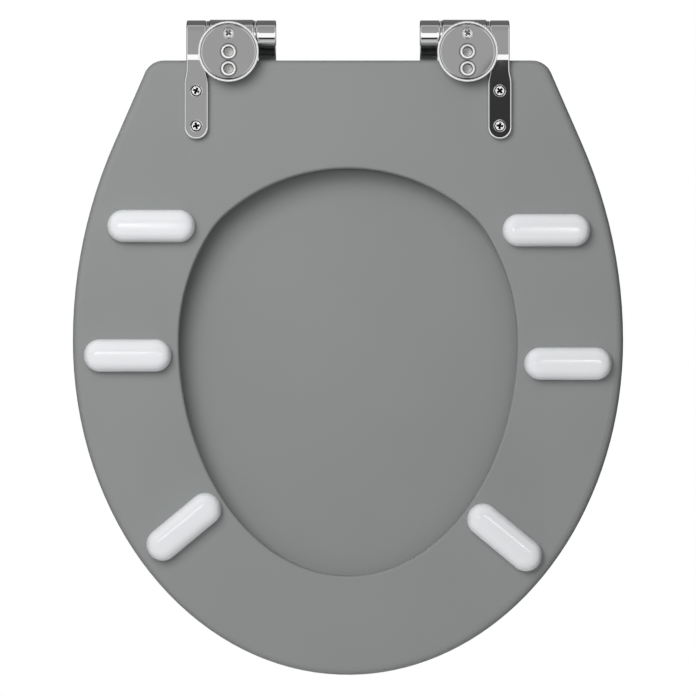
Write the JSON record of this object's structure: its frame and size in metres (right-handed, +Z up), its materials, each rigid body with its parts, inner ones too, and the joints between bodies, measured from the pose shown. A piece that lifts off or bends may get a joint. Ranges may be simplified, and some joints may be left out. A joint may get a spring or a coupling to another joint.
{
  "type": "toilet seat",
  "caption": "Closed-front oval toilet seat: painted board ring and lid on two chromed slow-close hinges, with pill-shaped bumpers beneath the ring.",
  "frame": {"origin": "midway between the two rear bolt threads, on the plane of the bowl that the base discs and bumpers rest on", "axes": "+Z up, lid on top; the front of the seat points to -Y and the hinges lie along X at the rear"},
  "size_m": [0.3704, 0.4408, 0.0472],
  "materials": {
    "painted_board": "grey satin paint",
    "white_plastic": "soft white",
    "cast_chrome": "polished",
    "screw_steel": "plated",
    "pin_steel": "turned",
    "dark_plastic": "moulded"
  },
  "bodies": {
    "hinge_bases": {"left_base_disc": "cast_chrome", "left_disc_screw": "screw_steel", "left_hinge_housing": "cast_chrome", "left_lid_damper": "dark_plastic", "left_lid_washer": "cast_chrome", "left_ring_bush": "dark_plastic", "left_ring_collar": "cast_chrome", "right_base_disc": "cast_chrome", "right_disc_screw": "screw_steel", "right_hinge_housing": "cast_chrome", "right_lid_bush": "dark_plastic", "right_lid_washer": "cast_chrome", "right_ring_collar": "cast_chrome", "right_ring_damper": "dark_plastic"},
    "ring_body": {"left_front_bumper": "white_plastic", "left_middle_bumper": "white_plastic", "left_rear_bumper": "white_plastic", "left_ring_leaf": "cast_chrome", "left_ring_leaf_screws": "screw_steel", "left_ring_pivot_pin": "pin_steel", "right_front_bumper": "white_plastic", "right_middle_bumper": "white_plastic", "right_rear_bumper": "white_plastic", "right_ring_damper_shaft": "pin_steel", "right_ring_leaf": "cast_chrome", "right_ring_leaf_screws": "screw_steel", "seat_ring": "painted_board"},
    "lid_body": {"left_front_buffer": "white_plastic", "left_lid_damper_shaft": "pin_steel", "left_lid_leaf": "cast_chrome", "left_lid_leaf_screws": "screw_steel", "left_side_buffer": "white_plastic", "lid": "painted_board", "right_front_buffer": "white_plastic", "right_lid_leaf": "cast_chrome", "right_lid_leaf_screws": "screw_steel", "right_lid_pivot_pin": "pin_steel", "right_side_buffer": "white_plastic"}
  },
  "joints": [
    {"name": "ring_hinge", "type": "hinge", "parent": "hinge_bases", "child": "ring_body", "pos_m": [0, 0.013, 0.014], "axis": [-1, 0, 0], "range_deg": [0, 100]},
    {"name": "lid_hinge", "type": "hinge", "parent": "ring_body", "child": "lid_body", "pos_m": [0, 0.013, 0.014], "axis": [-1, 0, 0], "range_deg": [0, 105]}
  ]
}
